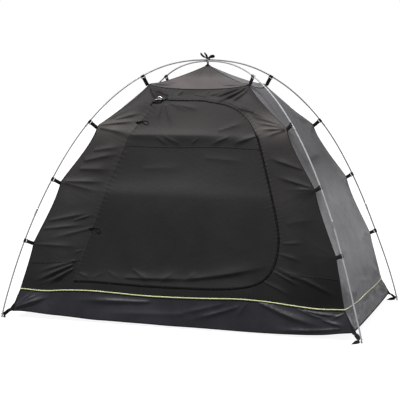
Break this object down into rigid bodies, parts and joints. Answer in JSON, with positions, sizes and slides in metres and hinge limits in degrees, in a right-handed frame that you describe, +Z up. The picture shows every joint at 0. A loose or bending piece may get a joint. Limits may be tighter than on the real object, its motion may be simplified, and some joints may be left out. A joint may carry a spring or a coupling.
{
  "type": "free-standing inner tent of a drive-away awning",
  "caption": "Free-standing inner tent of a drive-away awning: fabric cabin clipped inside crossed bowed poles, with a bathtub groundsheet and a D-shaped zipped door.",
  "frame": {"origin": "on the ground, under the crown where the two poles cross", "axes": "+X along the long side to the right seen from the front, -Y out of the front wall with the door, +Z up"},
  "size_m": [2.4832, 1.4858, 1.8006],
  "materials": {
    "front_cloth": "charcoal breathable polyester, matt",
    "door_cloth": "dark charcoal breathable polyester, matt",
    "side_cloth": "mid grey breathable polyester, matt",
    "roof_front_cloth": "warm grey breathable polyester, matt",
    "roof_side_cloth": "light grey breathable polyester, matt",
    "groundsheet_cloth": "coated groundsheet, slight sheen",
    "tub_front_cloth": "coated groundsheet, slight sheen",
    "tub_side_cloth": "coated groundsheet, slight sheen",
    "lime_piping": "lime corded piping",
    "zip_tape": "black coil zip",
    "black_webbing": "black polyester webbing",
    "black_plastic": "moulded black plastic",
    "slider_metal": "grey zip slider",
    "fibreglass_rod": "pale grey fibreglass pole, satin"
  },
  "bodies": {
    "tent": {"groundsheet": "groundsheet_cloth", "tub_front": "tub_front_cloth", "tub_back": "tub_front_cloth", "tub_right": "tub_side_cloth", "tub_left": "tub_side_cloth", "piping": "lime_piping", "front_wall_left": "front_cloth", "front_wall_right": "front_cloth", "front_wall_top": "front_cloth", "front_wall_bottom": "front_cloth", "right_wall": "side_cloth", "left_wall": "side_cloth", "back_wall": "front_cloth", "roof_front": "roof_front_cloth", "roof_back": "roof_front_cloth", "roof_right": "roof_side_cloth", "roof_left": "roof_side_cloth", "pole_front_left_to_back_right": "fibreglass_rod", "pole_front_right_to_back_left": "fibreglass_rod", "clip_front_left_1": "black_webbing", "clip_front_left_2": "black_webbing", "clip_front_left_3": "black_webbing", "clip_front_left_4": "black_webbing", "clip_front_right_1": "black_webbing", "clip_front_right_2": "black_webbing", "clip_front_right_3": "black_webbing", "clip_front_right_4": "black_webbing", "clip_back_right_1": "black_webbing", "clip_back_right_2": "black_webbing", "clip_back_right_3": "black_webbing", "clip_back_right_4": "black_webbing", "clip_back_left_1": "black_webbing", "clip_back_left_2": "black_webbing", "clip_back_left_3": "black_webbing", "clip_back_left_4": "black_webbing", "corner_strap_front_left": "black_webbing", "corner_strap_front_right": "black_webbing", "corner_strap_back_right": "black_webbing", "corner_strap_back_left": "black_webbing", "crown_tie": "black_webbing", "toggle_upper": "black_plastic", "toggle_lower": "black_plastic"},
    "door": {"door_panel": "door_cloth", "door_zip": "zip_tape", "zip_slider": "slider_metal"}
  },
  "joints": [
    {"name": "door_hinge", "type": "hinge", "parent": "tent", "child": "door", "pos_m": [-0.731, -0.68335, 0.259], "axis": [-0.2832, -0.252, -0.9254], "range_deg": [0, 120]}
  ]
}
